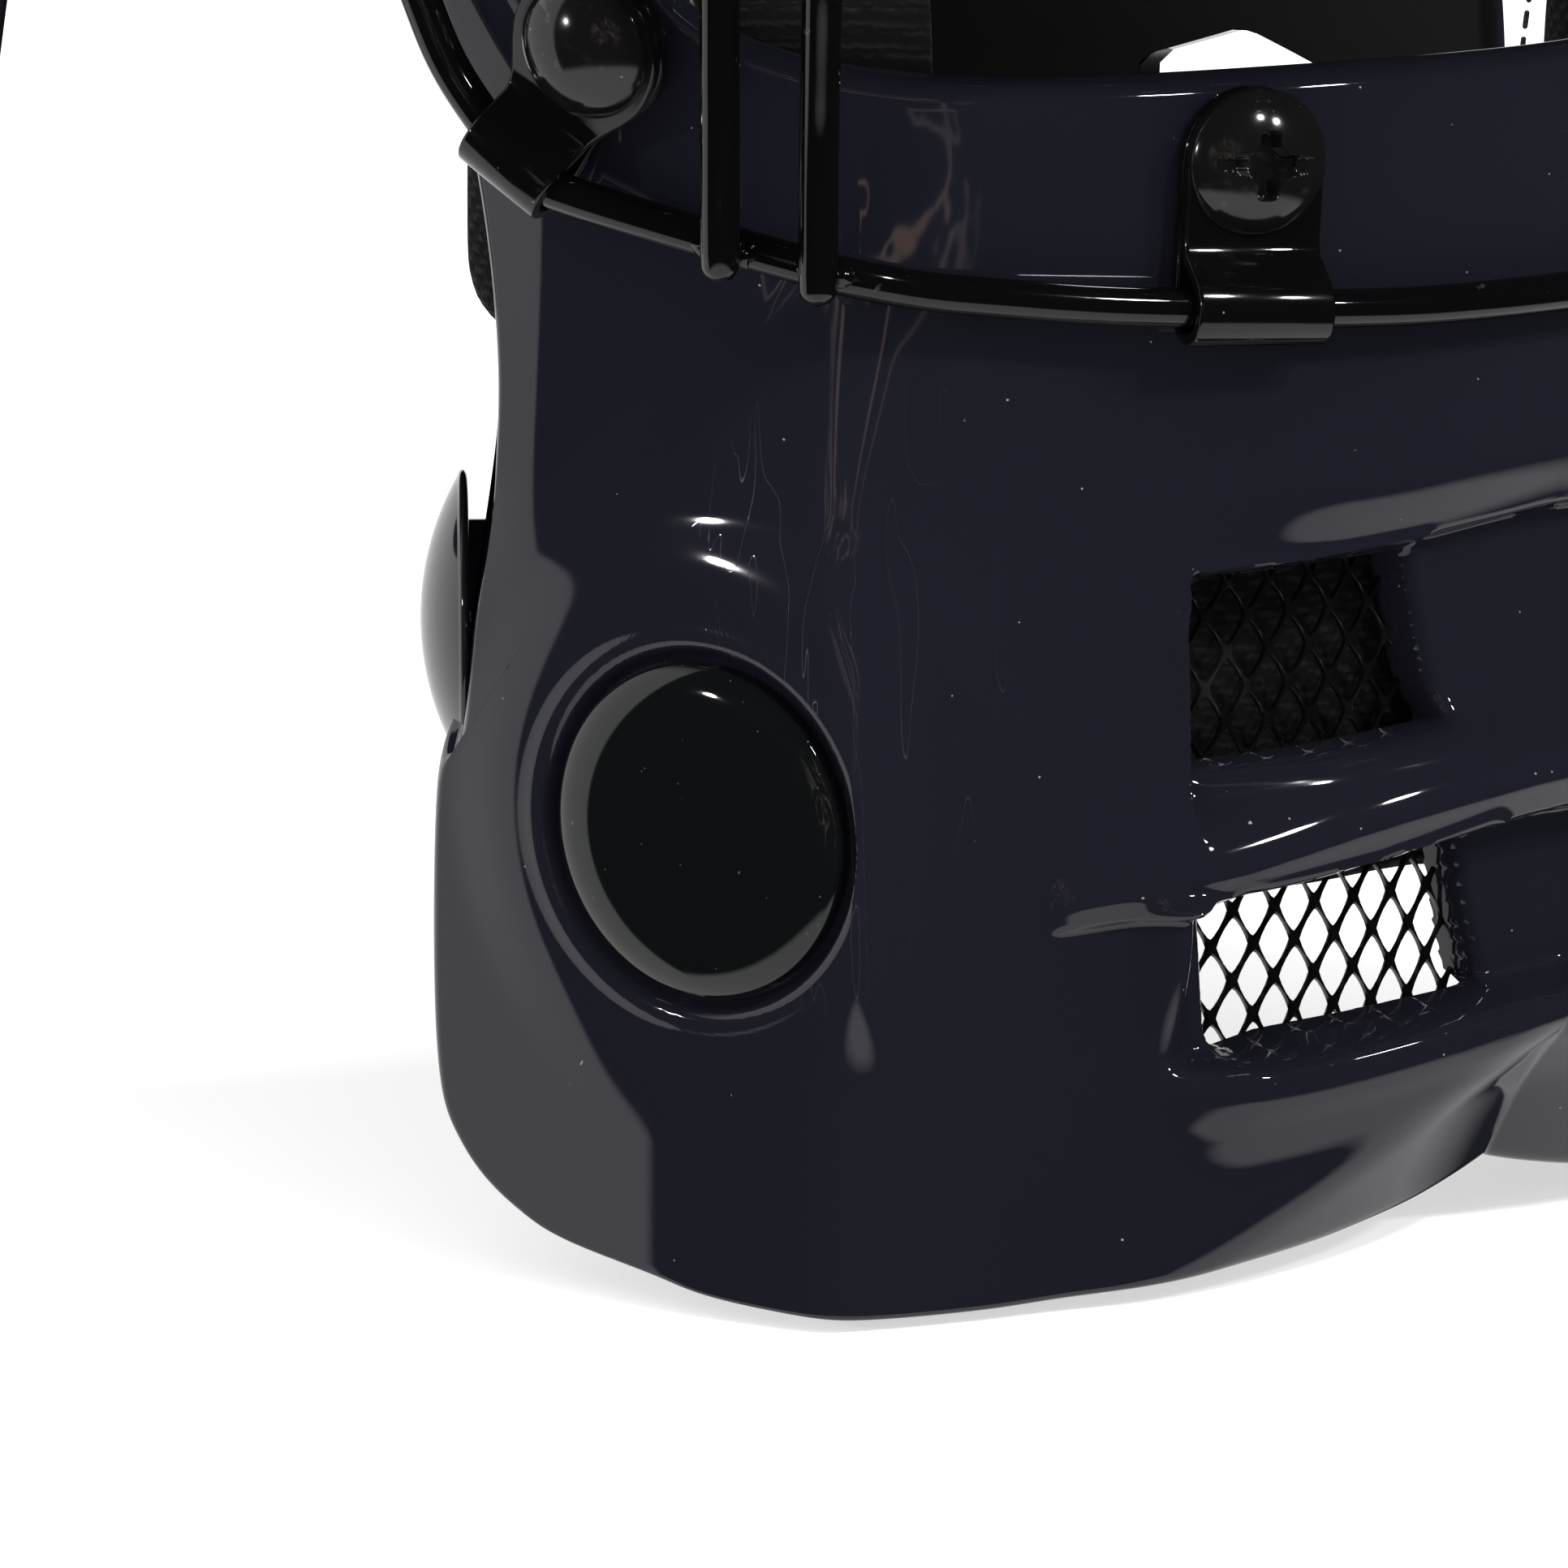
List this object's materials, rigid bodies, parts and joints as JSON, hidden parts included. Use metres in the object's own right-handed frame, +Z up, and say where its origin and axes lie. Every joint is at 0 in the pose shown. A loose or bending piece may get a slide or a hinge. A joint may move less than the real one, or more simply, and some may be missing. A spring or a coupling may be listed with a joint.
{
  "type": "goalie helmet",
  "caption": "Hard-shell sport helmet with a wire face guard on clips, chin vents, inner pads and a back plate that tips on two side pivots.",
  "frame": {"origin": "centre of the bounding box in plan, on the plane the shell rests on", "axes": "+Z up, the face looks along -Y, +X is the wearer's left"},
  "size_m": [0.2048, 0.2592, 0.288],
  "materials": {
    "shell": "glossy near-black blue moulded shell",
    "wire": "satin black coated wire",
    "clip": "satin black coated strap",
    "screw": "black oxide with worn slots",
    "nut": "plain zinc",
    "mesh": "fine dark woven mesh",
    "badge": "deep gloss black dome",
    "cap": "gloss black dome",
    "pad": "dark cloth over foam",
    "rivet": "black coated rivet",
    "washer": "black nylon"
  },
  "bodies": {
    "helmet": {"front_shell": "shell", "cage_rim": "wire", "cage_uprights": "wire", "cage_crossbars": "wire", "chin_clips": "clip", "side_clips": "clip", "brow_clips": "clip", "chin_clip_screws": "screw", "side_clip_screws": "screw", "brow_clip_screws": "screw", "chin_clip_nuts": "nut", "side_clip_nuts": "nut", "brow_clip_nuts": "nut", "upper_vent_meshes": "mesh", "lower_vent_meshes": "mesh", "jaw_badges": "badge", "jaw_caps": "cap", "chin_pad": "pad", "cheek_pads": "pad", "temple_pads": "pad", "brow_pad": "pad", "crown_pad": "pad", "pivot_rivets": "rivet", "pivot_washers": "washer"},
    "rear": {"back_plate": "shell", "occipital_pad": "pad", "nape_pad": "pad"}
  },
  "joints": [
    {"name": "back_plate_tip", "type": "hinge", "parent": "helmet", "child": "rear", "pos_m": [0, 0.03997, 0.175], "axis": [1, 0, 0], "range_deg": [0, 12]}
  ]
}
